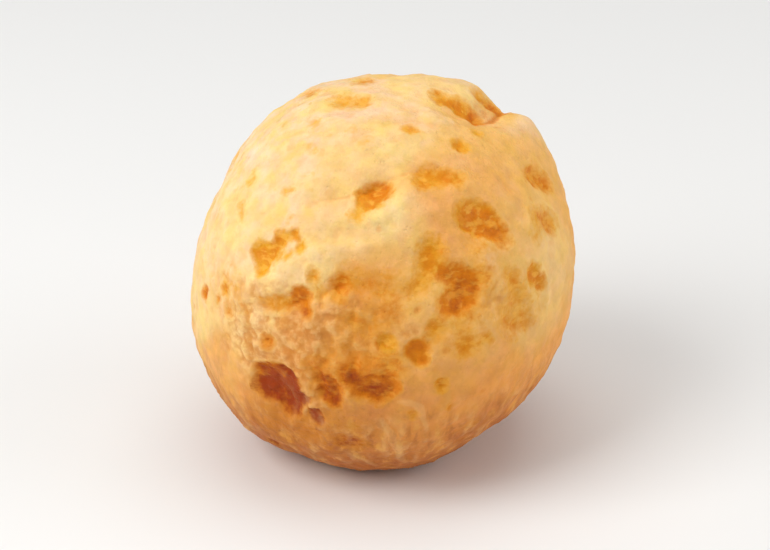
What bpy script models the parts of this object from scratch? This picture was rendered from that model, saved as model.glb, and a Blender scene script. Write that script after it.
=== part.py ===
"""Cheese bread ball (pao de queijo), uncut: crust and crumb are one solid.

Metres, +Z up. The origin is the middle of the flat base, and the shown side faces -Y.
Places on the ball are a bearing, in degrees round from -Y towards +X, and a latitude, in degrees
above its widest level.
"""

import math

import bmesh
import bpy
from mathutils import Vector, noise
from mathutils.kdtree import KDTree

# Driving dimensions
WIDTH = 0.054  # across the ball at its widest level
CROWN_RISE = 0.0286  # from the widest level up to the crown
BELLY_DROP = 0.0269  # from the widest level down to where a whole ball would end
BASE_RADIUS = 0.0115  # of the flat spot that it bakes and rests on
BASE_BLEND = 0.0011  # height over which the side rolls into the flat spot

# The skin is a grid on a cube that is blown up to a ball
GRID_SQUARES = 28  # along each edge of the cube
GRID_TURN = math.pi / 4

# Slow unevenness of the rising dough: wavelength and height of each size of lump
LUMPS = (
    (0.0230, 0.00050),
    (0.0105, 0.00034),
    (0.0056, 0.00013),
)

# Broad bulges and hollows: bearing, latitude, spread in degrees, and height
SWELLINGS = (
    (102, 22, 28, 0.0022),  # shoulder beside the fold
    (115, 40, 15, 0.0028),  # top of the shoulder
    (140, 57, 18, 0.0031),  # crown on the fold's other side
    (-132, 52, 22, 0.0014),
    (-162, 62, 15, 0.0007),
    (-103, 24, 13, -0.0010),  # flat cheek
    (-86, -12, 13, 0.0005),
    (-68, -36, 27, 0.0018),  # jowl
    (54, -46, 22, -0.0007),
    (-20, 35, 15, 0.0006),  # brow over the hollow in the face
    (-2, 13, 15, -0.0008),  # the hollow
    (8, 45, 9, 0.0005),  # knob under the crown's crease
    (-160, 8, 26, 0.0010),  # bulge at the back
    (175, -30, 24, -0.0006),
)

# Where the skin burst and rose in crumbly lumps: bearing, latitude, spread in degrees, and height
BURSTS = (
    (174, 40, 24, 0.0026),
    (-142, 30, 16, 0.0020),
    (-24, 6, 17, 0.0009),
    (36, 22, 16, 0.0009),
)
BURST_LUMP = 0.0058  # wavelength of those lumps
LUMP_MEAN = 0.3  # their mean height, as a share, which is taken off

# Folds in the skin: width, depth, lip height, then places along the line. The lip is on the left
FURROWS = (
    (0.0070, 0.0017, 0.00020, ((156, 14), (146, 27), (127, 42), (106, 54), (87, 65), (66, 74))),
    (0.0070, 0.0009, 0.00030, ((-138, 12), (-152, 26), (-172, 36), (166, 36), (150, 24))),
    (0.0056, 0.0010, 0.00040, ((-178, 34), (-172, 46), (-156, 52), (-140, 44))),
    (0.0042, 0.0008, 0.00022, ((30, 56), (15, 59), (-2, 52), (-19, 47), (-34, 42))),
    (0.0050, 0.0006, 0.00015, ((-6, 25), (-14, 24), (-26, 18), (-35, 14), (-44, 13))),
    (0.0058, 0.0007, 0.00030, ((-132, 26), (-114, 20), (-104, 8), (-108, -6))),
    (0.0056, 0.0006, 0.00025, ((142, -4), (126, -12), (108, -8), (94, 2))),
)

# Sunken pockets where cheese melted out: bearing, latitude, width and depth
POCKETS = (
    (-42, 28, 0.0072, 0.00105),
    (-34, 32, 0.0050, 0.00060),
    (-2, 52, 0.0064, 0.00110),
    (29, 55, 0.0074, 0.00050),
    (38, 39, 0.0086, 0.00095),
    (46, 31, 0.0050, 0.00045),
    (15, 31, 0.0072, 0.00060),
    (26, 22, 0.0088, 0.00085),
    (46, 8, 0.0090, 0.00055),
    (57, 15, 0.0044, 0.00050),
    (82, 36, 0.0068, 0.00045),
    (72, 26, 0.0060, 0.00050),
    (-27, 18, 0.0060, 0.00060),
    (-34, -10, 0.0090, 0.00080),
    (-27, -16, 0.0060, 0.00050),
    (-16, -6, 0.0058, 0.00055),
    (-1, -6, 0.0070, 0.00070),
    (10, 4, 0.0050, 0.00050),
    (-75, 80, 0.0078, 0.00060),
    (-106, -16, 0.0064, 0.00060),
    (-132, 50, 0.0080, 0.00080),
    (-128, 2, 0.0076, 0.00070),
    (-152, -21, 0.0066, 0.00070),
    (170, 20, 0.0090, 0.00080),
    (-178, -8, 0.0062, 0.00060),
    (124, 12, 0.0076, 0.00070),
    (88, -14, 0.0060, 0.00050),
)

FURROW_STEPS = 24  # points between two places along a furrow
FURROW_WANDER = 0.045  # how far a furrow strays from its line, in ball radii
LIP_REACH = 2.6  # how far a lip runs out, in half widths of its furrow
STEEP_SIDE = 0.95  # half width under the lip
GENTLE_SIDE = 1.5  # half width on the other side
RIM_REACH = 1.35  # how far a pocket's rim runs out, in radii of the pocket
RIM_SHARE = 0.16  # a rim's height, as a share of its pocket's depth

CRUST_COLOUR = (0.86, 0.58, 0.26, 1.0)
CRUST_ROUGHNESS = 0.62


def direction_at(bearing, latitude):
    """The way out of the ball's middle at a bearing and a latitude, both in degrees."""
    turn = math.radians(bearing)
    rise = math.radians(latitude)
    return Vector((math.sin(turn) * math.cos(rise), -math.cos(turn) * math.cos(rise), math.sin(rise)))


def smooth_step(share):
    """0 to 1 with level ends, as share goes from 0 to 1."""
    share = min(max(share, 0.0), 1.0)
    return share * share * (3 - 2 * share)


def curve_through(places):
    """Directions along a Catmull-Rom curve on the ball through these places."""
    stops = [direction_at(*place) for place in places]
    stops = [2 * stops[0] - stops[1], *stops, 2 * stops[-1] - stops[-2]]
    line = []
    for before, start, end, after in zip(stops, stops[1:], stops[2:], stops[3:]):
        for step in range(FURROW_STEPS):
            t = step / FURROW_STEPS
            point = start + 0.5 * t * (
                (end - before)
                + t * (2 * before - 5 * start + 4 * end - after)
                + t * t * (3 * start - before - 3 * end + after)
            )
            line.append(point.normalized())
    return line


class Furrow:
    """A groove along a curve on the ball, steep under a lip on its left. It runs out at both ends."""

    def __init__(self, width, depth, lip, places):
        self.half_width = width / 2
        self.depth = depth
        self.lip = lip
        self.line = curve_through(places)
        self.tree = KDTree(len(self.line))
        for number, point in enumerate(self.line):
            self.tree.insert(point, number)
        self.tree.balance()

    def height(self, direction):
        strayed = direction + FURROW_WANDER * noise.noise_vector(direction * 5.0)
        nearest, number, gap = self.tree.find(strayed.normalized())
        along = number / (len(self.line) - 1)
        fade = smooth_step(5 * along) * smooth_step(5 * (1 - along))
        away = gap * WIDTH / 2 / self.half_width
        start = max(number - 1, 0)
        run = self.line[start + 1] - self.line[start]
        under_lip = nearest.cross(run).dot(strayed - nearest) > 0
        groove = -self.depth * smooth_step(1 - away / (STEEP_SIDE if under_lip else GENTLE_SIDE))
        lip = 0.0
        if under_lip and away < LIP_REACH:
            lip = self.lip * math.sin(math.pi * math.sqrt(away / LIP_REACH)) ** 2
        return fade * (groove + lip)


def pocket_height(direction, middle, radius, depth):
    """A dished hollow with a low rim."""
    uneven = 1 + 0.22 * noise.noise(direction * 9.0 + middle * 5.0)
    away = (direction - middle).length * WIDTH / 2 / (radius * uneven)
    if away > RIM_REACH:
        return 0.0
    if away < 1:
        return -depth * (1 - away * away) ** 1.5
    return depth * RIM_SHARE * math.sin(math.pi * (away - 1) / (RIM_REACH - 1))


def burst_height(direction, middle, spread, height):
    """Crumbly lumps with sharp valleys between them, fading out from the middle."""
    place = direction * WIDTH / 2 / BURST_LUMP
    lumps = abs(noise.noise(place)) + 0.5 * abs(noise.noise(place * 1.9)) - LUMP_MEAN
    return lumps * swelling_height(direction, middle, spread, height)


def swelling_height(direction, middle, spread, height):
    """A broad, soft bulge, or a hollow if the height is negative."""
    return height * math.exp(-((direction.angle(middle) / math.radians(spread)) ** 2))


def lump_height(direction):
    """The unevenness of risen dough, as a few sizes of soft lumps."""
    place = direction * WIDTH / 2
    return sum(height * noise.noise(place / length) for length, height in LUMPS)


def settled(height, blend):
    """The height above the tray of a point that would lie at this height, which may be below it."""
    if height <= -blend:
        return 0.0
    if height >= blend:
        return height
    return (height + blend) ** 2 / (4 * blend)


def make_skin():
    """The ball's closed skin as a mesh, with its base flat at height 0."""
    furrows = [Furrow(*sizes) for sizes in FURROWS]
    bursts = [(direction_at(b, lat), spread, height) for b, lat, spread, height in BURSTS]
    pockets = [(direction_at(b, lat), width / 2, depth) for b, lat, width, depth in POCKETS]
    swellings = [(direction_at(b, lat), spread, height) for b, lat, spread, height in SWELLINGS]
    middle_height = BELLY_DROP * math.sqrt(1 - (2 * BASE_RADIUS / WIDTH) ** 2)

    skin = bmesh.new()
    bmesh.ops.create_cube(skin, size=2)
    bmesh.ops.subdivide_edges(skin, edges=skin.edges[:], cuts=GRID_SQUARES - 1, use_grid_fill=True)
    for vert in skin.verts:
        # Equal turns along the cube's edges give squares of nearly the same size on the ball
        direction = Vector([math.tan(share * GRID_TURN) for share in vert.co]).normalized()
        height = lump_height(direction)
        height += sum(swelling_height(direction, *sizes) for sizes in swellings)
        height += sum(pocket_height(direction, *sizes) for sizes in pockets)
        height += sum(burst_height(direction, *sizes) for sizes in bursts)
        height += min(furrow.height(direction) for furrow in furrows)
        height += max(furrow.height(direction) for furrow in furrows)
        rise = CROWN_RISE if direction.z > 0 else BELLY_DROP
        place = Vector((direction.x * WIDTH / 2, direction.y * WIDTH / 2, direction.z * rise))
        place += direction * height
        place.z = settled(place.z + middle_height, BASE_BLEND)
        vert.co = place
    mesh = bpy.data.meshes.new("cheese_ball")
    skin.to_mesh(mesh)
    skin.free()
    mesh.shade_smooth()
    return mesh


def crust_material():
    """Matt golden crust."""
    material = bpy.data.materials.new("crust")
    material.use_nodes = True
    shader = material.node_tree.nodes["Principled BSDF"]
    shader.inputs["Base Color"].default_value = CRUST_COLOUR
    shader.inputs["Roughness"].default_value = CRUST_ROUGHNESS
    shader.inputs["Metallic"].default_value = 0.0
    return material


def clear_scene():
    for old in list(bpy.data.objects):
        bpy.data.objects.remove(old)


def main():
    clear_scene()
    collection = bpy.data.collections.new("cheese_bread_ball")
    bpy.context.scene.collection.children.link(collection)
    mesh = make_skin()
    mesh.materials.append(crust_material())
    collection.objects.link(bpy.data.objects.new("cheese_ball", mesh))


main()
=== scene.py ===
import math

import bmesh
import bpy
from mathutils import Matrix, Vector


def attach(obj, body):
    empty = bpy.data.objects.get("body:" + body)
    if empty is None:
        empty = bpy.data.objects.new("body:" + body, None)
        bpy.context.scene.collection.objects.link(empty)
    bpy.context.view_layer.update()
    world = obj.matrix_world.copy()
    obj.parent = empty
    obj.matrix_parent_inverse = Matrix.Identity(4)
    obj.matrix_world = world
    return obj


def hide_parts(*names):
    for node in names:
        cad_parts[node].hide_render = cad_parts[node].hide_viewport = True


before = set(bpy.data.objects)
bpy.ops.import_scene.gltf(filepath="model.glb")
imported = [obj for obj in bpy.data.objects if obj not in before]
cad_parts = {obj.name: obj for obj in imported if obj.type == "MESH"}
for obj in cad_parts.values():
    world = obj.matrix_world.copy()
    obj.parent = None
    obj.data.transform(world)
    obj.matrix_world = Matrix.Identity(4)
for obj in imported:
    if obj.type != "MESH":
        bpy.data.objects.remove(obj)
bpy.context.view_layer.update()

scene = bpy.context.scene
millimetre = 0.001


def put(tree, kind, inputs=None, **settings):
    # adds a node; an input is either a socket to link from or a plain value
    node = tree.nodes.new(kind)
    for name, value in settings.items():
        setattr(node, name, value)
    for key, value in (inputs or {}).items():
        if isinstance(value, bpy.types.NodeSocket):
            tree.links.new(value, node.inputs[key])
        else:
            node.inputs[key].default_value = value
    return node


def calc(tree, operation, *values, clamp=False):
    inputs = dict(enumerate(values))
    return put(tree, "ShaderNodeMath", inputs, operation=operation, use_clamp=clamp).outputs[0]


def product(tree, first, *others):
    for value in others:
        first = calc(tree, "MULTIPLY", first, value)
    return first


def total(tree, first, *others):
    for value in others:
        first = calc(tree, "ADD", first, value)
    return first


def calcVector(tree, operation, *values):
    node = put(tree, "ShaderNodeVectorMath", dict(enumerate(values)), operation=operation)
    return node.outputs["Value" if operation in ("DOT_PRODUCT", "DISTANCE") else "Vector"]


def scaled(tree, vector, factor):
    inputs = {0: vector, "Scale": factor}
    return put(tree, "ShaderNodeVectorMath", inputs, operation="SCALE").outputs["Vector"]


def joined(tree, **parts):
    # a vector from its x, y and z, where what isn't given is 0
    inputs = {name.upper(): value for name, value in parts.items()}
    return put(tree, "ShaderNodeCombineXYZ", inputs).outputs[0]


def parted(tree, vector):
    return put(tree, "ShaderNodeSeparateXYZ", {0: vector}).outputs


def smooth(tree, value, start, end, low=0.0, high=1.0):
    # goes from low to high, with level ends, as the value goes from start to end
    inputs = {0: value, 1: start, 2: end, 3: low, 4: high}
    return put(tree, "ShaderNodeMapRange", inputs, interpolation_type="SMOOTHSTEP").outputs[0]


def noiseAt(tree, place, size, detail=2.0, roughness=0.5, output=0):
    # size is the wavelength, in the units of the place
    if isinstance(size, bpy.types.NodeSocket):
        scale = calc(tree, "DIVIDE", 1.0, size)
    else:
        scale = 1.0 / size
    inputs = {"Vector": place, "Scale": scale, "Detail": detail, "Roughness": roughness}
    return put(tree, "ShaderNodeTexNoise", inputs).outputs[output]


def waves(tree, place, size, detail=2.0, roughness=0.5):
    # the same noise, but around 0, and about -1 to 1
    return calc(tree, "MULTIPLY_ADD", noiseAt(tree, place, size, detail, roughness), 3.0, -1.5)


def strays(tree, place, size, detail=2.0, roughness=0.5):
    # three such noises as a vector, each around 0 and within half of it
    noises = noiseAt(tree, place, size, detail, roughness, "Color")
    return calcVector(tree, "SUBTRACT", noises, (0.5, 0.5, 0.5))


def named(tree, name, dataType="FLOAT"):
    kind = "GeometryNodeInputNamedAttribute"
    return put(tree, kind, {"Name": name}, data_type=dataType).outputs[0]


def stored(tree, skin, name, value, dataType="FLOAT"):
    inputs = {"Geometry": skin, "Name": name, "Value": value}
    return put(tree, "GeometryNodeStoreNamedAttribute", inputs, data_type=dataType).outputs[0]


def blurred(tree, value, steps):
    inputs = {"Value": value, "Iterations": steps}
    return put(tree, "GeometryNodeBlurAttribute", inputs, data_type="FLOAT").outputs[0]


def mixColour(tree, factor, a, b, blend="MIX"):
    # 6 and 7 are the node's A and B for colours
    inputs = {0: factor, 6: a, 7: b}
    return put(tree, "ShaderNodeMix", inputs, data_type="RGBA", blend_type=blend).outputs[2]


def newTree(name, kind, inputs, outputs):
    tree = bpy.data.node_groups.new(name, kind)
    for way, sockets in (("INPUT", inputs), ("OUTPUT", outputs)):
        for socketName, socketKind, *default in sockets:
            socket = tree.interface.new_socket(
                socketName, in_out=way, socket_type="NodeSocket" + socketKind
            )
            if default:
                socket.default_value = default[0]
    return tree, tree.nodes.new("NodeGroupInput").outputs, tree.nodes.new("NodeGroupOutput").inputs


def setInputs(modifier, values):
    items = modifier.node_group.interface.items_tree
    sockets = {item.name: item.identifier for item in items if item.in_out == "INPUT"}
    for name, value in values.items():
        modifier[sockets[name]] = value


def titled(name):
    # lumpSize as Lump Size, for the name of an input
    return "".join(" " + letter if letter.isupper() else letter for letter in name).title()


# Places on the ball are a bearing, in degrees round from -Y towards +X, and a latitude, in degrees
# above its middle. Sizes are in millimetres.
ballSettings = {
    "gridVertices": 129,       # along each edge of the cube that is blown up to a ball
    "ballRadius": 27.0,        # of the plain ball that the patterns and the places are laid on
    "middleHeight": 25.0,      # of the point that the skin is measured from
    "coreLevels": 2,           # smoothing of the solid under the skin
    "blurSteps": 3,            # evens out the skin that the rays find on it
    "tintBlur": 30,            # steps over which the tints below flow into each other
    "hollowSteps": 200,        # how wide the surroundings are that a hollow is judged against
    "valleySteps": 10,         # the same for the small valleys of the relief
    "wanderSize": 3.0,         # of the noise that bends the lines and warps the patterns
    "lumpSize": 4.2,
    "lumpHeight": 0.26,
    "blisterSize": 2.2,
    "blisterHeight": 0.12,
    "grainSize": 0.9,
    "grainHeight": 0.05,
    "pocketDepth": 0.45,       # of a toasted spot, which is sunken
    "rimShare": 0.2,           # height of a pocket's rim, as a share of that depth
    "bubbleSize": 1.0,
    "bubbleHeight": 0.15,      # unevenness on a pocket's floor
    "crumbSize": 2.6,
    "crumbHeight": 0.75,
    "crumbStray": 3.4,         # how far the crumbs are warped
    "pinholeSpacing": 5.2,
    "pinholeDepth": 0.18,
    "pinholeShare": 0.45,      # of the places for a pinhole, how many hold one
    "pinholeReach": 0.05,      # radius of the smallest, as a share of the spacing
    "pinholeMore": 0.12,       # how much more the largest has
    "wrinkleSize": 1.3,
    "wrinkleHeight": 0.2,
    "wrinkleRing": 22.0,       # radius of the ring that the wrinkles stand round
    "wrinkleRun": 9.0,         # the smaller, the longer they are
    "wrinkleStray": 2.6,
    "wrinklePatches": 9.0,     # size of the patches that have wrinkles
    "creaseDepth": 1.0,        # a factor on the depths below
    "creaseStray": 0.06,       # how far a crease is bent, in ball radii
    "swellHeight": 1.0,        # a factor on the heights below
    "swellStray": 0.12,        # how far a swell is bent
    "swellPatches": 3.5,       # size of the unevenness along a swell
    "flatMargin": 2.4,         # height above the flat base over which the relief fades in
    "seed": 4,
}

# Each kind of place below, the attributes that its nearness and its tone are written to, and how
# far and how finely noise strays its outlines
placeKinds = (
    ("Toasted Spots", "toasted", "tone", 1.6, 2.2),
    ("Tinted Places", "tinted", "tint", 6.0, 5.0),
    ("Crumbly Places", "crumbly", "coarse", 7.0, 6.0),
)

# Toasted spots: bearing, latitude, width, strength, and tone from gold (0) to red-brown (1). Under
# a strength of 0.3 a spot is little more than a stain, and spots that overlap melt together
toastedSpots = (
    # the golden one on the left, with its thin arm
    (-43, 29, 4.6, 1.05, 0.22),
    (-40, 31, 3.0, 0.75, 0.32),
    (-41, 25, 3.4, 0.95, 0.18),
    (-37, 30, 3.8, 0.36, 0.16),
    (-37, 35, 3.4, 0.80, 0.26),
    (-32, 37, 2.8, 0.80, 0.35),
    (-28, 34, 2.8, 0.70, 0.15),
    (-32, 31, 2.4, 0.50, 0.10),
    # under the crown's crease, then the row to its right
    (-4, 53, 4.4, 0.90, 0.38),
    (1, 54, 4.0, 0.80, 0.48),
    (-7, 51, 4.2, 0.90, 0.32),
    (-9, 46, 4.0, 0.42, 0.16),
    (-3, 50, 3.6, 0.70, 0.30),
    (18, 55, 3.6, 0.30, 0.40),
    (23, 56, 4.8, 0.40, 0.38),
    (28, 57, 5.2, 0.44, 0.38),
    (34, 55, 5.0, 0.46, 0.40),
    (40, 53, 4.0, 0.34, 0.40),
    # the large one on the right, with its tail
    (36, 43, 5.4, 0.90, 0.34),
    (40, 41, 6.0, 1.20, 0.40),
    (43, 39, 5.4, 1.10, 0.48),
    (46, 36, 4.6, 0.75, 0.54),
    (48, 32, 4.4, 0.44, 0.64),
    # the orange cluster right of the middle
    (12, 25, 5.0, 0.44, 0.36),
    (18, 35, 6.0, 0.60, 0.38),
    (16, 30, 5.6, 0.50, 0.36),
    (22, 28, 4.4, 0.55, 0.54),
    (26, 26, 4.6, 0.80, 0.54),
    (29, 24, 4.8, 1.05, 0.60),
    (28, 21, 4.8, 1.05, 0.62),
    (24, 19, 4.8, 0.85, 0.58),
    (21, 18, 4.4, 0.66, 0.54),
    (35, 24, 6.0, 0.30, 0.50),
    (27, 21, 12.0, 0.26, 0.42),
    # towards the right edge
    (80, 41, 4.8, 0.40, 0.45),
    (84, 38, 5.6, 0.56, 0.50),
    (87, 34, 4.6, 0.46, 0.52),
    (66, 32, 4.4, 0.36, 0.36),
    (71, 29, 6.0, 0.46, 0.48),
    (75, 26, 5.0, 0.40, 0.46),
    (62, 28, 4.0, 0.26, 0.35),
    (56, 18, 4.2, 0.85, 0.32),
    (59, 14, 3.4, 0.75, 0.44),
    (45, 21, 4.4, 0.32, 0.34),
    (46, 16, 5.0, 0.20, 0.30),
    (44, 6, 5.6, 0.26, 0.44),
    (49, 5, 4.4, 0.24, 0.44),
    (39, 10, 4.2, 0.18, 0.40),
    (48, 12, 14.0, 0.28, 0.36),
    # along the upper edge of the hollow
    (-26, 20, 4.2, 1.00, 0.60),
    (-31, 17, 4.6, 0.50, 0.42),
    (-36, 16, 4.6, 0.34, 0.40),
    (-19, 22, 6.0, 0.26, 0.30),
    (-23, 16, 3.2, 0.50, 0.74),
    (-13, 26, 3.8, 0.66, 0.48),
    (-13, 22, 3.2, 0.48, 0.50),
    (-22, 27, 3.0, 0.44, 0.30),
    (-10, 28, 6.0, 0.26, 0.44),
    (-4, 26, 6.0, 0.26, 0.50),
    (3, 27, 6.0, 0.26, 0.42),
    (-3, 14, 7.0, 0.20, 0.50),
    (-9, 16, 5.0, 0.24, 0.55),
    # towards the left edge
    (-67, 7, 3.4, 0.85, 0.52),
    (-52, 17, 7.5, 0.26, 0.32),
    (-44, 12, 6.0, 0.16, 0.46),
    (-55, 13, 3.2, 0.46, 0.40),
    (-52, 8, 3.4, 0.40, 0.52),
    (-58, 9, 2.4, 0.44, 0.46),
    # small ones in the middle
    (16, 12, 4.4, 0.56, 0.40),
    (11, 6, 4.6, 1.10, 0.50),
    (12, 3, 3.2, 0.80, 0.46),
    (2, 8, 3.8, 0.55, 0.30),
    (25, 5, 5.0, 0.50, 0.42),
    (32, 6, 3.2, 0.40, 0.40),
    (-35, 4, 3.6, 0.62, 0.68),
    # the large red-brown one, low on the left
    (-37, -8, 5.2, 1.00, 0.76),
    (-31, -6, 5.4, 1.00, 0.78),
    (-38, -13, 5.0, 1.00, 0.90),
    (-34, -10, 6.8, 1.30, 0.92),
    (-29, -9, 6.4, 1.30, 0.94),
    (-27, -13, 4.8, 1.20, 0.92),
    (-34, -14, 4.2, 1.00, 0.88),
    (-29, -17, 4.6, 1.00, 0.90),
    (-23, -12, 2.6, 0.40, 0.80),
    (-20, -18, 3.2, 1.00, 0.90),
    # its smaller neighbours on the right
    (-14, -11, 3.2, 0.80, 0.78),
    (-17, -6, 4.2, 0.50, 0.74),
    (-19, -1, 5.2, 0.36, 0.72),
    (-15, -8, 4.4, 0.95, 0.74),
    (-9, 0, 5.2, 0.30, 0.66),
    (-6, -7, 4.0, 0.64, 0.72),
    (-2, -6, 5.2, 1.00, 0.70),
    (2, -5, 5.0, 0.90, 0.62),
    (0, -9, 3.8, 0.60, 0.68),
    (-9, -2, 3.6, 0.50, 0.76),
    (-14, -3, 12.0, 0.22, 0.60),
    (-4, -4, 10.0, 0.20, 0.55),
    # small ones low down
    (18, -6, 3.0, 0.80, 0.38),
    (21, -14, 2.0, 0.40, 0.60),
    (10, -16, 2.4, 0.45, 0.50),
    (-10, -29, 5.6, 0.42, 0.85),
    (-46, -42, 3.4, 0.80, 1.00),
    (30, -24, 4.0, 0.25, 0.60),
    # on the crown and in the fold
    (-97, 79, 5.6, 0.44, 0.26),
    (-84, 85, 4.4, 0.46, 0.36),
    (-122, 66, 5.0, 0.40, 0.36),
    (-160, 76, 5.0, 0.42, 0.40),
    (105, 72, 4.4, 0.75, 0.38),
    (103, 66, 4.8, 0.80, 0.38),
    (101, 61, 4.0, 0.85, 0.58),
    (118, 57, 5.0, 0.50, 0.34),
    (115, 52, 4.2, 0.80, 0.60),
    (125, 46, 4.4, 0.80, 0.62),
    (33, 73, 3.2, 0.36, 0.30),
    (58, 62, 3.8, 0.70, 0.26),
    (78, 61, 3.0, 0.46, 0.20),
    # faint flecks on the upper left and the crown
    (-66, 45, 2.8, 0.26, 0.06),
    (-69, 47, 1.8, 0.26, 0.12),
    (-61, 37, 3.2, 0.26, 0.05),
    (-58, 35, 2.0, 0.24, 0.10),
    (-67, 69, 3.6, 0.22, 0.00),
    (-10, 69, 3.6, 0.22, 0.05),
    (-75, 30, 2.4, 0.26, 0.12),
    (-44, 48, 2.6, 0.22, 0.00),
    (-41, 49, 1.6, 0.26, 0.15),
    (-46, 62, 3.0, 0.20, 0.05),
    (28, 73, 3.0, 0.26, 0.25),
    (22, 74, 2.0, 0.24, 0.15),
    (-26, 73, 2.6, 0.20, 0.10),
    (-36, 41, 2.0, 0.26, 0.25),
    # broad, faint stains; the one at 38, 33 and the two low on the front left are painted shade
    (-6, 4, 14.0, 0.24, 0.66),
    (3, 19, 8.0, 0.28, 0.60),
    (38, 33, 9.0, 0.22, 0.46),
    (3, 2, 8.0, 0.28, 0.55),
    (26, 10, 12.0, 0.20, 0.50),
    (-34, -26, 15.0, 0.20, 0.80),
    (-18, -24, 16.0, 0.22, 0.78),
    # round the sides and the back
    (-132, 50, 6.5, 0.85, 0.50),
    (-124, 53, 4.0, 0.50, 0.40),
    (-126, 2, 6.5, 0.90, 0.45),
    (-131, 6, 4.0, 0.60, 0.35),
    (-120, -1, 3.6, 0.50, 0.50),
    (170, 20, 7.0, 1.00, 0.56),
    (164, 16, 5.0, 0.70, 0.46),
    (176, 23, 4.4, 0.60, 0.56),
    (-178, -8, 5.0, 0.80, 0.72),
    (-173, -5, 3.6, 0.55, 0.60),
    (124, 12, 5.6, 0.85, 0.42),
    (129, 8, 4.0, 0.50, 0.50),
    (119, 15, 3.4, 0.46, 0.36),
    (88, -14, 4.6, 0.60, 0.66),
    (93, -12, 3.4, 0.44, 0.50),
    (-106, -16, 4.8, 0.75, 0.80),
    (-101, -19, 3.4, 0.55, 0.76),
    (-152, 30, 6.0, 0.85, 0.50),
    (-146, 27, 4.4, 0.60, 0.42),
    (-158, 22, 4.0, 0.40, 0.55),
    (170, 40, 6.5, 0.95, 0.50),
    (162, 46, 4.0, 0.50, 0.40),
    (152, 26, 5.0, 0.70, 0.40),
    (-92, 22, 3.0, 0.55, 0.30),
    (-112, 12, 5.0, 0.26, 0.40),
    (-100, 40, 4.0, 0.28, 0.25),
    (-80, -10, 4.0, 0.26, 0.50),
    (140, -24, 6.0, 0.50, 0.80),
    (134, -10, 5.0, 0.28, 0.60),
    (112, 2, 4.6, 0.30, 0.50),
    (104, 20, 3.4, 0.34, 0.36),
    (98, -3, 2.6, 0.44, 0.46),
    (150, 8, 3.0, 0.46, 0.40),
    (146, -2, 2.4, 0.36, 0.50),
    (-152, -21, 5.0, 0.60, 0.70),
    (-140, -9, 6.0, 0.28, 0.60),
    (-160, 0, 3.0, 0.40, 0.45),
    (165, -17, 2.8, 0.46, 0.60),
)

# Broad tints, which also paint in light and shade, paler on the lit left side and the ridges and
# darker low on the front and in the hollow: bearing, latitude, width, strength (0 to 1), and tone
# from cream (0) to brown (1)
tintedPlaces = (
    # painted light: the pale left side and the pale ridges
    (-46, 13, 12.0, 0.70, 0.00),
    (-38, 20, 12.0, 0.80, 0.00),
    (-29, 27, 12.0, 0.60, 0.05),
    (-70, 16, 30.0, 0.35, 0.05),
    (-80, -2, 18.0, 0.35, 0.25),
    (-14, 42, 18.0, 0.45, 0.36),
    (2, 45, 6.0, 0.50, 0.08),
    (7, 53, 6.0, 0.35, 0.45),
    # golden upper half
    (13, 43, 12.0, 0.50, 0.42),
    (25, 45, 16.0, 0.50, 0.54),
    (2, 38, 12.0, 0.45, 0.48),
    (-20, 62, 20.0, 0.50, 0.38),
    (-61, 38, 22.0, 0.45, 0.30),
    (-41, 20, 6.0, 0.50, 0.40),
    # right and left edges
    (62, 16, 22.0, 0.50, 0.38),
    (53, 3, 16.0, 0.40, 0.42),
    (47, 11, 14.0, 0.50, 0.45),
    (-55, -12, 18.0, 0.50, 0.56),
    (-68, -6, 14.0, 0.26, 0.36),
    (-45, 4, 10.0, 0.40, 0.15),
    # painted shade on the low front
    (-28, -36, 20.0, 0.50, 0.95),
    (-13, -20, 14.0, 0.50, 0.92),
    (36, -24, 18.0, 0.40, 0.92),
    # right side, fold and crown
    (74, 10, 18.0, 0.40, 0.40),
    (72, 28, 14.0, 0.30, 0.34),
    (112, 60, 16.0, 0.50, 0.25),
    (38, 54, 18.0, 0.42, 0.52),
    (6, 67, 18.0, 0.25, 0.12),
    (0, 60, 10.0, 0.25, 0.05),
    (124, 79, 14.0, 0.50, 0.10),
    (60, 47, 16.0, 0.35, 0.55),
    # painted shade in the middle, from the hollow down
    (26, 36, 14.0, 0.50, 0.55),
    (-6, 24, 16.0, 0.50, 0.68),
    (-5, 12, 16.0, 0.40, 0.64),
    (-26, 12, 11.0, 0.45, 0.72),
    (-26, -4, 16.0, 0.60, 0.74),
    (-14, -1, 16.0, 0.50, 0.70),
    (-12, -17, 18.0, 0.60, 0.80),
    (-32, -21, 12.0, 0.75, 0.95),
    (-44, -16, 9.0, 0.50, 0.80),
    (1, -6, 12.0, 0.55, 0.75),
    (18, 6, 14.0, 0.25, 0.60),
    (30, -13, 26.0, 0.40, 0.68),
    (10, -24, 26.0, 0.45, 0.70),
    # the sides and the back
    (112, 2, 24.0, 0.35, 0.30),
    (96, 20, 18.0, 0.30, 0.60),
    (124, -16, 20.0, 0.40, 0.72),
    (84, -26, 16.0, 0.40, 0.40),
    (150, -4, 20.0, 0.35, 0.35),
    (136, -32, 14.0, 0.35, 0.42),
    (172, 38, 34.0, 0.40, 0.62),
    (-144, 30, 24.0, 0.40, 0.60),
    (-168, -22, 20.0, 0.40, 0.68),
    (176, 4, 34.0, 0.40, 0.58),
    (-146, 6, 26.0, 0.34, 0.52),
    (-136, -18, 24.0, 0.34, 0.62),
    (-120, -32, 18.0, 0.40, 0.44),
    (-128, 6, 18.0, 0.35, 0.55),
    (-100, 2, 18.0, 0.30, 0.35),
    (-96, -22, 16.0, 0.35, 0.66),
    (166, 66, 16.0, 0.30, 0.45),
    (-108, 42, 16.0, 0.30, 0.38),
)

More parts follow.
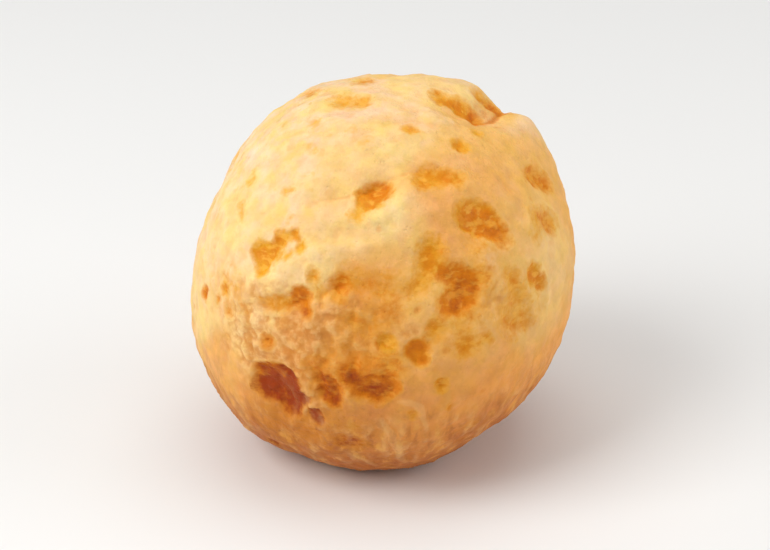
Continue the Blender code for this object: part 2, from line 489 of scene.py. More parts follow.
# Places where the skin broke into crumbs: bearing, latitude, width, strength, and how coarse
crumblyPlaces = (
    (-26, 6, 28.0, 0.80, 0.55),
    (-50, 9, 22.0, 0.42, 0.25),
    (-38, 3, 18.0, 0.50, 0.50),
    (-9, 9, 22.0, 0.60, 0.45),
    (36, 20, 18.0, 0.42, 0.50),
    (46, 9, 16.0, 0.36, 0.45),
    (-26, -10, 20.0, 0.55, 0.50),
    (12, 8, 14.0, 0.45, 0.40),
    (108, 57, 12.0, 0.50, 0.80),
    (174, 40, 30.0, 1.00, 1.00),
    (-142, 30, 22.0, 0.90, 0.80),
    (130, 4, 16.0, 0.50, 0.50),
    (-118, -6, 17.0, 0.60, 0.50),
)

# Creases in the skin, or thin raised threads if the depth is negative: depth, width, then places
creaseLines = (
    (0.50, 1.6, ((92, 63), (99, 58), (106, 54), (127, 42), (146, 27), (156, 14))),
    (0.20, 1.2, ((-32, 44), (-24, 49), (-16, 51), (-9, 54), (-2, 56), (8, 58), (20, 59), (33, 59),
                 (42, 57))),
    (0.22, 1.3, ((-46, 13), (-35, 14), (-26, 18), (-14, 24), (-5, 25))),
    (0.45, 1.5, ((-138, 12), (-152, 26), (-172, 36), (166, 36), (150, 24))),
    (0.40, 1.3, ((-178, 34), (-172, 46), (-156, 52), (-140, 44))),
    (0.14, 1.8, ((-132, 26), (-120, 23), (-111, 16))),
    (0.16, 0.8, ((66, 66), (56, 61), (48, 57))),
    (-0.32, 1.6, ((0, -16), (3, -23), (6, -33), (11, -46))),
    (-0.28, 1.4, ((5, -10), (10, -12), (13, -17), (15, -25))),
    (-0.18, 1.5, ((-12, -34), (-6, -41), (0, -47))),
    (-0.12, 1.8, ((-22, -5), (-23, -11), (-19, -18))),
)

# Broad swells along a line, or troughs if the height is negative: height, width, then places
swellLines = (
    (0.42, 4.6, ((-44, 20), (-36, 25), (-27, 30), (-18, 34), (-8, 36), (2, 37))),
    (-0.36, 4.4, ((-26, 22), (-16, 24), (-6, 25), (4, 24), (12, 19))),
    (0.45, 5.0, ((-6, 50), (-2, 53), (4, 55))),
    (0.22, 3.8, ((18, 53), (10, 50), (2, 46), (-6, 43), (-14, 41))),
    (0.80, 5.5, ((56, 78), (72, 71), (86, 66), (96, 62))),
    (0.30, 5.0, ((52, 52), (57, 42), (60, 31), (66, 20))),
    (0.30, 4.6, ((-46, -2), (-38, 1), (-29, 0), (-21, 4))),
    (0.40, 6.0, ((-120, 40), (-134, 34), (-150, 40), (-166, 30))),
    (-0.35, 6.0, ((-150, 2), (-166, -2), (176, 4))),
)


def directionAt(bearing, latitude):
    turn = math.radians(bearing)
    rise = math.radians(latitude)
    level = math.cos(rise)
    return Vector((math.sin(turn) * level, -math.cos(turn) * level, math.sin(rise)))


def helperObject(name, corners, edges, labels):
    # a mesh that only carries places and their sizes
    mesh = bpy.data.meshes.new(name)
    mesh.from_pydata(corners, edges, [])
    for label, values in labels.items():
        mesh.attributes.new(label, "FLOAT", "POINT").data.foreach_set("value", values)
    helper = bpy.data.objects.new(name, mesh)
    scene.collection.objects.link(helper)
    return helper


def placesObject(name, rows):
    # one vertex for each place, on a ball of radius 1
    bearings, latitudes, widths, strengths, tones = zip(*rows)
    corners = [directionAt(*place) for place in zip(bearings, latitudes)]
    return helperObject(name, corners, [], {"width": widths, "strength": strengths, "tone": tones})


def linesObject(name, rows, steps=10, fade=0.6):
    # edges along a smooth curve through the places of each line, which fades out at both ends
    corners, edges, heights, widths = [], [], [], []
    for height, width, places in rows:
        stops = [directionAt(*place) for place in places]
        stops = [2 * stops[0] - stops[1], *stops, 2 * stops[-1] - stops[-2]]
        first = len(corners)
        for before, start, end, after in zip(stops, stops[1:], stops[2:], stops[3:]):
            for step in range(steps):
                t = step / steps
                point = start + 0.5 * t * (
                    (end - before)
                    + t * (2 * before - 5 * start + 4 * end - after)
                    + t * t * (3 * start - before - 3 * end + after)
                )
                corners.append(point.normalized())
        count = len(corners) - first
        for number in range(count):
            heights.append(height * math.sin(math.pi * number / (count - 1)) ** fade)
        widths.extend([width] * count)
        edges.extend((number - 1, number) for number in range(first + 1, first + count))
    return helperObject(name, corners, edges, {"height": heights, "width": widths})


def buildMarkTree():
    # writes how near each point of the skin is to the places, 0 to 1, and the nearest one's tone
    tree, given, result = newTree("markPlaces", "GeometryNodeTree", [
        ("Geometry", "Geometry"), ("Places", "Object"), ("Mark Name", "String"),
        ("Tone Name", "String"), ("Ball Radius", "Float", 27.0), ("Unevenness", "Float", 0.5),
        ("Unevenness Size", "Float", 3.0), ("Seed", "Int", 0),
    ], [("Geometry", "Geometry")])
    places = put(tree, "GeometryNodeObjectInfo", {"Object": given["Places"]}).outputs["Geometry"]
    sizes = put(tree, "GeometryNodeAttributeDomainSize", {"Geometry": places}, component="MESH")
    start = tree.nodes.new("GeometryNodeRepeatInput")
    end = tree.nodes.new("GeometryNodeRepeatOutput")
    start.pair_with_output(end)
    tree.links.new(sizes.outputs["Point Count"], start.inputs["Iterations"])

    # the skin's own direction, strayed by noise so that no spot is round
    onBall = scaled(tree, named(tree, "direction", "FLOAT_VECTOR"), given["Ball Radius"])
    shifted = calcVector(tree, "ADD", onBall, joined(tree, x=given["Seed"]))
    stray = strays(tree, shifted, given["Unevenness Size"], 3.0, 0.65)
    strayed = calcVector(tree, "ADD", onBall, scaled(tree, stray, given["Unevenness"]))
    skin = stored(tree, given["Geometry"], "strayed", strayed, "FLOAT_VECTOR")
    tree.links.new(skin, start.inputs["Geometry"])

    def ofPlace(field, dataType="FLOAT"):
        inputs = {"Geometry": places, "Value": field, "Index": start.outputs["Iteration"]}
        return put(tree, "GeometryNodeSampleIndex", inputs, data_type=dataType).outputs[0]

    middle = ofPlace(tree.nodes.new("GeometryNodeInputPosition").outputs[0], "FLOAT_VECTOR")
    middle = scaled(tree, middle, given["Ball Radius"])
    away = calcVector(tree, "DISTANCE", named(tree, "strayed", "FLOAT_VECTOR"), middle)
    halfWidth = product(tree, ofPlace(named(tree, "width")), 0.5)
    nearness = calc(tree, "SUBTRACT", 1.0, calc(tree, "DIVIDE", away, halfWidth), clamp=True)
    nearness = calc(tree, "MULTIPLY", nearness, ofPlace(named(tree, "strength")), clamp=True)
    before = named(tree, given["Mark Name"])
    lead = smooth(tree, calc(tree, "SUBTRACT", nearness, before), -0.1, 0.1)
    lead = product(tree, lead, smooth(tree, nearness, 0.0, 0.06))
    # 2 and 3 are the node's A and B for numbers
    toneMix = {0: lead, 2: named(tree, given["Tone Name"]), 3: ofPlace(named(tree, "tone"))}
    tone = put(tree, "ShaderNodeMix", toneMix, data_type="FLOAT").outputs[0]
    # the tone is written first, because it still needs the mark as it was
    skin = stored(tree, start.outputs["Geometry"], given["Tone Name"], tone)
    # places that overlap melt together
    melted = total(tree, before, nearness, product(tree, before, nearness, -1.0))
    skin = stored(tree, skin, given["Mark Name"], melted)
    tree.links.new(skin, end.inputs["Geometry"])
    tree.links.new(end.outputs["Geometry"], result["Geometry"])
    return tree


def buildBallTree(markTree):
    tree, given, result = newTree("ballCrust", "GeometryNodeTree", [
        ("Geometry", "Geometry"), ("Toasted Spots", "Object"), ("Tinted Places", "Object"),
        ("Crumbly Places", "Object"), ("Crease Lines", "Object"), ("Swell Lines", "Object"),
        ("Crust", "Material"), *(
            (titled(name), "Int" if isinstance(value, int) else "Float", value)
            for name, value in ballSettings.items()
        ),
    ], [("Geometry", "Geometry")])

    # a cube of squares, with each corner pushed out along its direction from the middle
    grid = {"Vertices " + axis: given["Grid Vertices"] for axis in "XYZ"}
    cube = put(tree, "GeometryNodeMeshCube", {"Size": (2.0, 2.0, 2.0), **grid}).outputs["Mesh"]
    onCube = tree.nodes.new("GeometryNodeInputPosition").outputs[0]
    # equal turns along the cube's edges give squares of nearly the same size on the ball
    evened = calcVector(tree, "TANGENT", scaled(tree, onCube, math.pi / 4))
    skin = stored(tree, cube, "direction", calcVector(tree, "NORMALIZE", evened), "FLOAT_VECTOR")
    direction = named(tree, "direction", "FLOAT_VECTOR")

    # the solid's own form, smoothed and found by a ray along each direction
    coreInputs = {"Mesh": given["Geometry"], "Level": given["Core Levels"]}
    core = put(tree, "GeometryNodeSubdivisionSurface", coreInputs).outputs[0]
    middle = joined(tree, z=product(tree, given["Middle Height"], millimetre))
    ray = put(tree, "GeometryNodeRaycast", {
        "Target Geometry": core, "Source Position": middle, "Ray Direction": direction,
        "Ray Length": 0.2,  # in metres, far past the skin
    })
    found = calc(tree, "DIVIDE", ray.outputs["Hit Distance"], millimetre)
    skin = stored(tree, skin, "radius", found)
    radius = named(tree, "radius")
    skin = stored(tree, skin, "radius", blurred(tree, radius, given["Blur Steps"]))

    # marks that the relief and the colours share
    for places, mark, tone, unevenness, unevennessSize in placeKinds:
        skin = stored(tree, stored(tree, skin, mark, 0.0), tone, 0.0)
        skin = put(tree, "GeometryNodeGroup", {
            "Geometry": skin, "Places": given[places], "Mark Name": mark, "Tone Name": tone,
            "Ball Radius": given["Ball Radius"], "Unevenness": unevenness,
            "Unevenness Size": unevennessSize, "Seed": given["Seed"],
        }, node_tree=markTree).outputs["Geometry"]
    for name in ("tinted", "tint"):
        skin = stored(tree, skin, name, blurred(tree, named(tree, name), given["Tint Blur"]))

    onBall = scaled(tree, direction, given["Ball Radius"])
    seeded = calcVector(tree, "ADD", onBall, joined(tree, y=given["Seed"]))
    wander = strays(tree, seeded, given["Wander Size"])
    toasted = named(tree, "toasted")
    crumbly = smooth(tree, named(tree, "crumbly"), 0.02, 0.6)

    def nearLines(lines, stray):
        # 1 on the nearest line and 0 at half its width, times that line's own height
        lines = put(tree, "GeometryNodeObjectInfo", {"Object": lines}).outputs["Geometry"]
        wandered = calcVector(tree, "ADD", direction, scaled(tree, wander, stray))
        where = {0: lines, "Sample Position": wandered}
        gap = put(tree, "GeometryNodeProximity", where, target_element="EDGES").outputs["Distance"]
        where = {"Geometry": lines, "Sample Position": wandered}
        corner = put(tree, "GeometryNodeSampleNearest", where, domain="POINT").outputs[0]

        def ofCorner(label):
            inputs = {"Geometry": lines, "Value": named(tree, label), "Index": corner}
            return put(tree, "GeometryNodeSampleIndex", inputs, data_type="FLOAT").outputs[0]

        halfWidth = product(tree, ofCorner("width"), 0.5)
        away = calc(tree, "DIVIDE", product(tree, gap, given["Ball Radius"]), halfWidth)
        return product(tree, smooth(tree, away, 1.0, 0.0), ofCorner("height"))

    skin = stored(tree, skin, "crease", nearLines(given["Crease Lines"], given["Crease Stray"]))
    swell = nearLines(given["Swell Lines"], given["Swell Stray"])
    uneven = calc(tree, "ADD", waves(tree, seeded, given["Swell Patches"]), 1.0)
    swell = product(tree, swell, given["Swell Height"], uneven)
    skin = stored(tree, skin, "radius", calc(tree, "ADD", radius, swell))
    # how far each point lies below its wide surroundings; the crust colour paints shade into the
    # hollows and light onto the swells by it
    around = blurred(tree, radius, given["Hollow Steps"])
    skin = stored(tree, skin, "hollow", calc(tree, "SUBTRACT", around, radius))

    # pinholes in some cells of a Voronoi pattern, each of its own width
    cells = put(tree, "ShaderNodeTexVoronoi", {
        "Vector": calcVector(tree, "ADD", seeded, wander),
        "Scale": calc(tree, "DIVIDE", 1.0, given["Pinhole Spacing"]),
    })
    chance, growth = put(tree, "FunctionNodeSeparateColor", {0: cells.outputs["Color"]}).outputs[:2]
    reach = product(tree, growth, given["Pinhole More"])
    reach = calc(tree, "ADD", reach, given["Pinhole Reach"])
    pinhole = smooth(tree, cells.outputs["Distance"], reach, 0.0)
    without = calc(tree, "SUBTRACT", 1.0, given["Pinhole Share"])
    pinhole = product(tree, pinhole, calc(tree, "GREATER_THAN", chance, without))
    skin = stored(tree, skin, "pinhole", pinhole)

    # stretch wrinkles that run down the lower half
    low = parted(tree, direction)["Z"]
    sideways = calcVector(tree, "MULTIPLY", direction, (1.0, 1.0, 0.0))
    ring = scaled(tree, calcVector(tree, "NORMALIZE", sideways), given["Wrinkle Ring"])
    ring = calcVector(tree, "ADD", ring, scaled(tree, wander, given["Wrinkle Stray"]))
    run = joined(tree, z=product(tree, low, given["Wrinkle Run"]))
    ridges = noiseAt(tree, calcVector(tree, "ADD", ring, run), given["Wrinkle Size"], 3.0)
    patches = smooth(tree, noiseAt(tree, seeded, given["Wrinkle Patches"]), 0.36, 0.54)
    lowZone = product(tree, smooth(tree, low, -0.05, -0.45), patches)
    wrinkle = product(tree, smooth(tree, ridges, 0.46, 0.7), lowZone)
    skin = stored(tree, skin, "wrinkle", wrinkle)

    # crumbs stand in broken skin, as rough lumps with valleys between them
    warped = calcVector(tree, "ADD", seeded, scaled(tree, wander, given["Crumb Stray"]))
    lumps = put(tree, "ShaderNodeTexVoronoi", {
        "Vector": warped, "Scale": calc(tree, "DIVIDE", 1.0, given["Crumb Size"]), "Detail": 1.5,
        "Roughness": 0.6, "Smoothness": 0.35,
    }, feature="SMOOTH_F1").outputs["Distance"]
    crumbs = calc(tree, "SUBTRACT", 0.4, lumps)
    crumbs = product(tree, crumbs, crumbly, calc(tree, "ADD", named(tree, "coarse"), 0.3))

    # the relief is the sum of these, in millimetres
    pocket = smooth(tree, toasted, 0.12, 0.6)
    rim = product(tree, smooth(tree, toasted, 0.0, 0.06), smooth(tree, toasted, 0.25, 0.06))
    bubbles = waves(tree, seeded, given["Bubble Size"], 1.0)
    bubbles = product(tree, bubbles, smooth(tree, toasted, 0.15, 0.5))
    roughened = calc(tree, "MULTIPLY_ADD", crumbly, 0.6, 0.9)
    softLumps = waves(tree, seeded, given["Lump Size"], 1.0)
    blisters = waves(tree, seeded, given["Blister Size"], 1.0)
    grain = waves(tree, seeded, given["Grain Size"], 1.0)
    relief = total(
        tree,
        product(tree, softLumps, given["Lump Height"]),
        product(tree, blisters, given["Blister Height"], roughened),
        product(tree, grain, given["Grain Height"], roughened),
        product(tree, crumbs, given["Crumb Height"]),
        product(tree, pocket, given["Pocket Depth"], -1.0),
        product(tree, rim, given["Pocket Depth"], given["Rim Share"]),
        product(tree, bubbles, given["Bubble Height"]),
        product(tree, named(tree, "crease"), given["Crease Depth"], -1.0),
        product(tree, pinhole, given["Pinhole Depth"], -1.0),
        product(tree, wrinkle, given["Wrinkle Height"]),
    )

    # nothing stands proud on the flat spot, and nothing goes below it
    height = calc(tree, "MULTIPLY_ADD", radius, low, given["Middle Height"])
    relief = product(tree, relief, smooth(tree, height, 0.1, given["Flat Margin"]))
    skin = stored(tree, skin, "relief", relief)
    relief = named(tree, "relief")
    # how far each point lies below the relief just round it; the crust colour paints shade into
    # these valleys and light onto the tops by it
    valley = calc(tree, "SUBTRACT", blurred(tree, relief, given["Valley Steps"]), relief)
    skin = stored(tree, skin, "valley", valley)
    reached = product(tree, total(tree, radius, relief), millimetre)
    place = calcVector(tree, "ADD", middle, scaled(tree, direction, reached))
    skin = put(tree, "GeometryNodeSetPosition", {"Geometry": skin, "Position": place}).outputs[0]
    now = parted(tree, tree.nodes.new("GeometryNodeInputPosition").outputs[0])
    settled = joined(tree, x=now["X"], y=now["Y"], z=calc(tree, "MAXIMUM", now["Z"], 0.0))
    skin = put(tree, "GeometryNodeSetPosition", {"Geometry": skin, "Position": settled}).outputs[0]

    for spare in ("direction", "strayed", "radius", "relief"):
        inputs = {"Geometry": skin, "Name": spare}
        skin = put(tree, "GeometryNodeRemoveAttribute", inputs).outputs[0]
    skin = put(tree, "GeometryNodeSetShadeSmooth", {"Geometry": skin}).outputs[0]
    skin = put(tree, "GeometryNodeRealizeInstances", {"Geometry": skin}).outputs[0]
    inputs = {"Geometry": skin, "Material": given["Crust"]}
    skin = put(tree, "GeometryNodeSetMaterial", inputs).outputs[0]
    tree.links.new(skin, result["Geometry"])
    return tree


def buildBall(crust):
    # the solid's own mesh, as whole squares again, is what the skin is laid on
    mesh = bpy.data.objects["cheese_ball"].data.copy()
    work = bmesh.new()
    work.from_mesh(mesh)
    bmesh.ops.remove_doubles(work, verts=work.verts[:], dist=0.02 * millimetre)
    anyAngle = {"angle_face_threshold": math.pi, "angle_shape_threshold": math.pi}
    bmesh.ops.join_triangles(work, faces=work.faces[:], **anyAngle)
    work.to_mesh(mesh)
    work.free()
    maker = bpy.data.objects.new("ballMaker", mesh)
    scene.collection.objects.link(maker)
    helpers = {
        "Toasted Spots": placesObject("toastedSpotPlaces", toastedSpots),
        "Tinted Places": placesObject("tintedPlaces", tintedPlaces),
        "Crumbly Places": placesObject("crumblyPlaces", crumblyPlaces),
        "Crease Lines": linesObject("creaseLines", creaseLines),
        "Swell Lines": linesObject("swellLines", swellLines),
    }
    modifier = maker.modifiers.new("skin", "NODES")
    modifier.node_group = buildBallTree(buildMarkTree())
    values = {titled(name): value for name, value in ballSettings.items()}
    setInputs(modifier, {**values, **helpers, "Crust": crust})
    bpy.context.view_layer.update()
    evaluated = maker.evaluated_get(bpy.context.evaluated_depsgraph_get())
    finished = bpy.data.meshes.new_from_object(evaluated)
    for spare in (maker, *helpers.values()):
        bpy.data.objects.remove(spare)
    finished.name = "crustedBall"
    ball = bpy.data.objects.new("crustedBall", finished)
    scene.collection.objects.link(ball)
    print("ball skin:", len(finished.polygons), "faces")
    return ball


def srgb(red, green, blue):
    # a colour as it looks on a screen, 0 to 255, as the linear colour that a shader takes
    def linear(level):
        level /= 255
        return level / 12.92 if level <= 0.04045 else ((level + 0.055) / 1.055) ** 2.4
    return (linear(red), linear(green), linear(blue), 1.0)


# Sizes, heights and reaches are in millimetres
crustSettings = {
    "cream": srgb(255, 219, 154),
    "pale": srgb(248, 218, 176),
    "yellow": srgb(246, 214, 142),
    "blush": srgb(250, 208, 166),
    "fleck": srgb(228, 186, 84),
    "golden": srgb(242, 182, 94),
    "amber": srgb(234, 156, 76),
    "base": srgb(188, 109, 52),
    "deepStreak": srgb(176, 98, 46),
    "crumbTop": srgb(250, 206, 138),
    "crumbGap": srgb(206, 130, 54),
    "spotGold": srgb(235, 167, 36),
    "spotOrange": srgb(220, 124, 10),
    "spotBrown": srgb(154, 52, 6),
    "speck": srgb(250, 188, 74),
    "yellowCloud": (1.0, 1.0, 0.87, 1.0),      # these four multiply the colour under them
    "pinkCloud": (1.0, 0.985, 1.08, 1.0),
    "darkCloud": (0.93, 0.92, 0.90, 1.0),
    "lightCloud": (1.05, 1.05, 1.07, 1.0),
    "hueCloudSize": 3.0,
    "shadeCloudSize": 2.4,
    "doughCloudSize": 3.6,
    "doughFleckSize": 1.5,
    "spotRaggedSize": 1.6,                     # of the unevenness along a toasted spot's edge
    "spotSpeckSize": 1.2,
    "spotDotSize": 0.8,
    "ballMiddle": (0.0, 0.0, 26.0),            # for the two sides below
    "shadedSide": (0.65, 0.0, -0.75),            # painted shade: more golden on the side away from the key light
    "trayAndShadeSide": (0.25, 0.0, -0.95),            # partly the browned underside, partly painted shade low down
    "goldenFrom": (-33.0, -3.0),               # how far towards that side it starts and is full
    "amberFrom": (-2.0, 16.0),                 # the same towards that side
    "sideShadeCloudSize": 8.0,                      # clouds that make both uneven
    "sideShadeCloudReach": 4.0,
    "baseFrom": (20.0, 8.0),                   # height where the darker base starts and is full, partly browning and partly painted shade
    "streaksFrom": (24.0, 10.0),               # the same for the streaks on it
    "baseCloudSize": 5.0,                      # clouds that make those heights uneven
    "baseCloudReach": 2.0,
    "streakShape": (1.0, 1.0, 0.24),           # stretches the streaks upright
    "streakSize": 1.7,
    "crumbSizes": (                            # size, and how strong its gaps and its tops are
        (4.0, 0.5, 0.3),
        (1.7, 0.35, 0.3),
        (0.8, 0.3, 0.3),
    ),
    "roughness": 0.58,
    "toastRoughness": 0.42,                    # where a toasted spot covers the skin
    "roughnessCloudSize": 1.6,
    "bumpStrength": 0.6,
    "bumpDistance": 0.00022,                   # in metres
    "poreSize": 0.9,                           # of the fine bump, as the next
    "grainSize": 0.5,
    "specular": 0.12,
    "subsurface": 0.12,
    "subsurfaceRadius": (1.0, 0.5, 0.22),
    "subsurfaceScale": 0.0018,                 # in metres
}


def buildDoughTree():
    # soft clouds of three close tones, with sparse small flecks, as on unbrowned dough skin
    tree, given, result = newTree("doughMottle", "ShaderNodeTree", [
        ("Vector", "Vector"), ("Pale", "Color"), ("Yellow", "Color"), ("Blush", "Color"),
        ("Fleck", "Color"), ("Cloud Size", "Float", 5.0), ("Fleck Size", "Float", 1.8),
    ], [("Color", "Color")])
    cloudSize = given["Cloud Size"]
    clouds = noiseAt(tree, given["Vector"], cloudSize, 2.0)
    colour = mixColour(tree, smooth(tree, clouds, 0.38, 0.64), given["Pale"], given["Yellow"])
    shifted = calcVector(tree, "ADD", given["Vector"], (31.0, 7.0, 19.0))
    blush = noiseAt(tree, shifted, product(tree, cloudSize, 0.7), 2.0)
    colour = mixColour(tree, smooth(tree, blush, 0.5, 0.62, 0.0, 0.55), colour, given["Blush"])
    sparse = noiseAt(tree, given["Vector"], product(tree, cloudSize, 1.4))
    flecks = smooth(tree, noiseAt(tree, shifted, given["Fleck Size"], 2.0), 0.58, 0.70, 0.0, 0.6)
    flecks = product(tree, flecks, smooth(tree, sparse, 0.46, 0.6))
    colour = mixColour(tree, flecks, colour, given["Fleck"])
    tree.links.new(colour, result["Color"])
    return tree


def buildToastTree():
    # colour and cover of the toasted spots, whose edges are soft and ragged
    tree, given, result = newTree("toastedSpots", "ShaderNodeTree", [
        ("Vector", "Vector"), ("Mark", "Float"), ("Tone", "Float"), ("Gold", "Color"),
        ("Orange", "Color"), ("Brown", "Color"), ("Speck", "Color"), ("Ragged Size", "Float", 1.6),
        ("Speck Size", "Float", 1.2), ("Dot Size", "Float", 0.8),
    ], [("Color", "Color"), ("Cover", "Float"), ("Halo", "Float")])
    ragged = waves(tree, given["Vector"], given["Ragged Size"], 3.0, 0.55)
    marked = smooth(tree, given["Mark"], 0.0, 0.1)
    dotted = waves(tree, given["Vector"], given["Dot Size"], 2.0)
    edge = calc(tree, "MULTIPLY_ADD", ragged, 0.11, given["Mark"])
    edge = calc(tree, "MULTIPLY_ADD", dotted, 0.11, edge)
    solid = smooth(tree, edge, 0.14, 0.52, 0.0, 0.94)
    stain = smooth(tree, edge, 0.0, 0.34, 0.0, 0.38)
    cover = total(tree, solid, stain, product(tree, solid, stain, -1.0))
    cover = product(tree, cover, marked)
    tone = calc(tree, "MULTIPLY_ADD", ragged, 0.26, given["Tone"])
    tone = calc(tree, "ADD", smooth(tree, given["Mark"], 0.1, 0.9, -0.14, 0.1), tone)
    colour = mixColour(tree, smooth(tree, tone, 0.0, 0.6), given["Gold"], given["Orange"])
    colour = mixColour(tree, smooth(tree, tone, 0.5, 1.0), colour, given["Brown"])
    streaked = calcVector(tree, "MULTIPLY", given["Vector"], (0.7, 0.7, 1.4))
    specks = smooth(tree, noiseAt(tree, streaked, given["Speck Size"], 3.0), 0.5, 0.64)
    specks = product(tree, specks, smooth(tree, given["Tone"], 1.0, 0.2, 0.0, 0.6))
    colour = mixColour(tree, specks, colour, given["Speck"])
    halo = product(tree, smooth(tree, edge, -0.05, 0.3, 0.0, 0.3), marked)
    for name, value in (("Color", colour), ("Cover", cover), ("Halo", halo)):
        tree.links.new(value, result[name])
    return tree


def buildCrust(doughTree, toastTree):
    look = crustSettings
    crust = bpy.data.materials.new("bakedCrust")
    crust.use_nodes = True
    tree = crust.node_tree
    shader = tree.nodes["Principled BSDF"]
    place = scaled(tree, put(tree, "ShaderNodeTexCoord").outputs["Object"], 1 / millimetre)

    def mark(name):
        return put(tree, "ShaderNodeAttribute", attribute_name=name).outputs["Fac"]

    def noiseFrom(shift, size, detail, roughness):
        return noiseAt(tree, calcVector(tree, "ADD", place, shift), size, detail, roughness)

    def stained(colour, tint, value, start, end, most=1.0, where=None):
        # more of a tint as the value goes from start to end, up to most, and only where it says
        share = smooth(tree, value, start, end, 0.0, most)
        if where is not None:
            share = product(tree, share, where)
        return mixColour(tree, share, colour, look[tint])

    dough = put(tree, "ShaderNodeGroup", {
        "Vector": place, "Pale": look["pale"], "Yellow": look["yellow"], "Blush": look["blush"],
        "Fleck": look["fleck"], "Cloud Size": look["doughCloudSize"],
        "Fleck Size": look["doughFleckSize"],
    }, node_tree=doughTree).outputs
    toast = put(tree, "ShaderNodeGroup", {
        "Vector": place, "Mark": mark("toasted"), "Tone": mark("tone"), "Gold": look["spotGold"],
        "Orange": look["spotOrange"], "Brown": look["spotBrown"], "Speck": look["speck"],
        "Ragged Size": look["spotRaggedSize"], "Speck Size": look["spotSpeckSize"],
        "Dot Size": look["spotDotSize"],
    }, node_tree=toastTree).outputs

    # painted shade: more golden towards the lower right, away from the key light; more amber
    # towards the bottom, partly browning and partly painted shade; both in uneven clouds
    outward = calcVector(tree, "SUBTRACT", place, look["ballMiddle"])
    clouds = product(tree, waves(tree, place, look["sideShadeCloudSize"]), look["sideShadeCloudReach"])
    colour = dough["Color"]
    for tint, side in (("golden", "shadedSide"), ("amber", "trayAndShadeSide")):
        facing = calc(tree, "ADD", calcVector(tree, "DOT_PRODUCT", outward, look[side]), clouds)
        colour = stained(colour, tint, facing, *look[tint + "From"], 0.9)
    # darker towards the bottom: partly the browned base, partly painted shade low down
    clouds = product(tree, waves(tree, place, look["baseCloudSize"]), look["baseCloudReach"])
    height = calc(tree, "ADD", clouds, parted(tree, place)["Z"])
    colour = stained(colour, "base", height, *look["baseFrom"], 0.95)
    hollow = mark("hollow")
    # painted shade: amber in the hollows; painted light: paler where the skin stands above its
    # surroundings
    colour = stained(colour, "amber", hollow, 0.05, 0.8, 0.6)
    colour = stained(colour, "pale", hollow, -0.05, -0.6, 0.5)

    # the broad tints, partly tone and partly painted light and shade
    tint = mark("tint")
    tinted = mixColour(tree, smooth(tree, tint, 0.0, 0.3), look["cream"], look["yellow"])
    tinted = stained(tinted, "amber", tint, 0.25, 0.65)
    tinted = stained(tinted, "base", tint, 0.6, 1.0)
    colour = mixColour(tree, smooth(tree, mark("tinted"), 0.0, 0.6, 0.0, 0.85), colour, tinted)

    # paler and deeper streaks run down the darker lower part
    stretched = calcVector(tree, "MULTIPLY", place, look["streakShape"])
    streaks = noiseAt(tree, stretched, look["streakSize"], 3.0, 0.6)
    low = smooth(tree, height, *look["streaksFrom"])
    colour = stained(colour, "golden", streaks, 0.52, 0.68, 0.5, low)
    colour = stained(colour, "deepStreak", streaks, 0.50, 0.34, 0.6, low)

    # small clouds all over, some yellower and some pinker, some darker and some lighter
    hue = noiseFrom((5.0, 23.0, 11.0), look["hueCloudSize"], 3.0, 0.6)
    hue = mixColour(tree, smooth(tree, hue, 0.36, 0.64), look["yellowCloud"], look["pinkCloud"])
    shade = noiseFrom((17.0, 2.0, 29.0), look["shadeCloudSize"], 4.0, 0.62)
    shade = mixColour(tree, smooth(tree, shade, 0.34, 0.66), look["darkCloud"], look["lightCloud"])
    for cloud in (hue, shade):
        colour = mixColour(tree, 1.0, colour, cloud, "MULTIPLY")

    # crumbly places get pale and golden-brown patches of crumb colour
    crumbly = smooth(tree, mark("crumbly"), 0.05, 0.7)
    for size, gapStrength, topStrength in look["crumbSizes"]:
        crumbs = noiseAt(tree, place, size, 2.0, 0.55)
        colour = stained(colour, "crumbGap", crumbs, 0.54, 0.38, gapStrength, crumbly)
        colour = stained(colour, "crumbTop", crumbs, 0.52, 0.68, topStrength, crumbly)
    # painted shade and light by the relief: its small valleys amber on smooth skin and golden-brown
    # among crumbs, and the crumbs' high points paler
    valley = mark("valley")
    valleyShadeShare = calc(tree, "MULTIPLY_ADD", crumbly, -0.15, 0.2)
    colour = stained(colour, "amber", valley, 0.0, 0.08, 1.0, valleyShadeShare)
    colour = stained(colour, "crumbGap", valley, -0.03, 0.13, 0.6, crumbly)
    colour = stained(colour, "crumbTop", valley, -0.02, -0.16, 0.3, crumbly)

    # the spots lie over all of that, and then the fine lines
    colour = mixColour(tree, toast["Halo"], colour, look["spotGold"])
    colour = mixColour(tree, toast["Cover"], colour, toast["Color"])
    crease = mark("crease")
    # darker orange along the creases: partly toasting in the folds, partly painted shade in them
    colour = stained(colour, "spotOrange", crease, 0.02, 0.4, 0.45)
    colour = stained(colour, "crumbTop", crease, 0.0, -0.12, 0.2)
    colour = mixColour(tree, product(tree, mark("pinhole"), 0.5), colour, look["spotOrange"])
    colour = mixColour(tree, product(tree, mark("wrinkle"), 0.3), colour, look["crumbTop"])
    tree.links.new(colour, shader.inputs["Base Color"])

    glossier = look["toastRoughness"] - look["roughness"]
    rough = calc(tree, "MULTIPLY_ADD", toast["Cover"], glossier, look["roughness"])
    uneven = waves(tree, place, look["roughnessCloudSize"])
    rough = calc(tree, "MULTIPLY_ADD", uneven, 0.05, rough)
    tree.links.new(rough, shader.inputs["Roughness"])

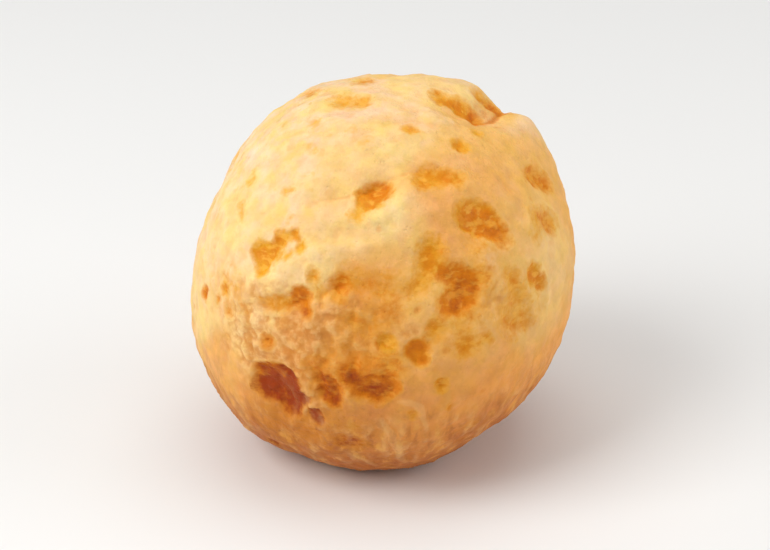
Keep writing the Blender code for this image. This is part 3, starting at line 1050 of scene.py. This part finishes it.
    poreInputs = {"Vector": place, "Scale": 1 / look["poreSize"]}
    pores = put(tree, "ShaderNodeTexVoronoi", poreInputs).outputs["Distance"]
    grain = noiseAt(tree, place, look["grainSize"], 4.0, 0.6)
    fine = calc(tree, "MULTIPLY_ADD", smooth(tree, pores, 0.0, 0.3), 0.5, grain)
    bump = put(tree, "ShaderNodeBump", {
        "Strength": look["bumpStrength"], "Distance": look["bumpDistance"], "Height": fine,
    })
    tree.links.new(bump.outputs[0], shader.inputs["Normal"])
    shader.inputs["Specular IOR Level"].default_value = look["specular"]
    shader.inputs["Subsurface Weight"].default_value = look["subsurface"]
    shader.inputs["Subsurface Radius"].default_value = look["subsurfaceRadius"]
    shader.inputs["Subsurface Scale"].default_value = look["subsurfaceScale"]
    return crust


floorSettings = {
    "size": 4.0,
    "colour": (0.86, 0.855, 0.84, 1.0),
    "roughness": 0.9,
}


def buildFloor():
    bpy.ops.mesh.primitive_plane_add(size=floorSettings["size"])
    floor = bpy.context.object
    floor.name = "paleFloor"
    look = bpy.data.materials.new("paleFloor")
    look.use_nodes = True
    shader = look.node_tree.nodes["Principled BSDF"]
    shader.inputs["Base Color"].default_value = floorSettings["colour"]
    shader.inputs["Roughness"].default_value = floorSettings["roughness"]
    floor.data.materials.append(look)


lightSettings = {
    "key": {"power": 2.15, "size": 0.34, "place": (-0.36, -0.20, 0.42)},
    "top": {"power": 3.1, "size": 0.9, "place": (0.0, 0.15, 0.92)},
    "side": {"power": 1.1, "size": 0.40, "place": (0.52, -0.04, 0.22)},
    "target": (0.0, 0.0, 0.025),
    "skyColour": (1.0, 1.0, 1.0, 1.0),
    "skyStrength": 0.32,
}


def buildLights():
    look = lightSettings
    target = Vector(look["target"])
    for name in ("key", "top", "side"):
        data = bpy.data.lights.new(name, "AREA")
        data.energy = look[name]["power"]
        data.size = look[name]["size"]
        light = bpy.data.objects.new(name, data)
        light.location = look[name]["place"]
        light.rotation_euler = (target - light.location).to_track_quat("-Z", "Y").to_euler()
        scene.collection.objects.link(light)
    world = bpy.data.worlds.new("studio")
    world.use_nodes = True
    sky = world.node_tree.nodes["Background"]
    sky.inputs["Color"].default_value = look["skyColour"]
    sky.inputs["Strength"].default_value = look["skyStrength"]
    scene.world = world


cameraSettings = {
    "elevation": 28.0,
    "lens": 100.0,
    "distance": 0.310,
    "target": (0.0006, 0.0, 0.0255),
}


def buildCamera():
    look = cameraSettings
    data = bpy.data.cameras.new("camera")
    data.lens = look["lens"]
    camera = bpy.data.objects.new("camera", data)
    rise = math.radians(look["elevation"])
    back = Vector((0, -math.cos(rise), math.sin(rise)))
    camera.location = Vector(look["target"]) + back * look["distance"]
    camera.rotation_euler = (-back).to_track_quat("-Z", "Y").to_euler()
    scene.collection.objects.link(camera)
    scene.camera = camera
    scene.view_settings.view_transform = "Standard"


crust = buildCrust(buildDoughTree(), buildToastTree())
print("materials built")
ball = buildBall(crust)
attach(ball, "root")
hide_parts("cheese_ball")
buildFloor()
buildLights()
buildCamera()
print("stage built")
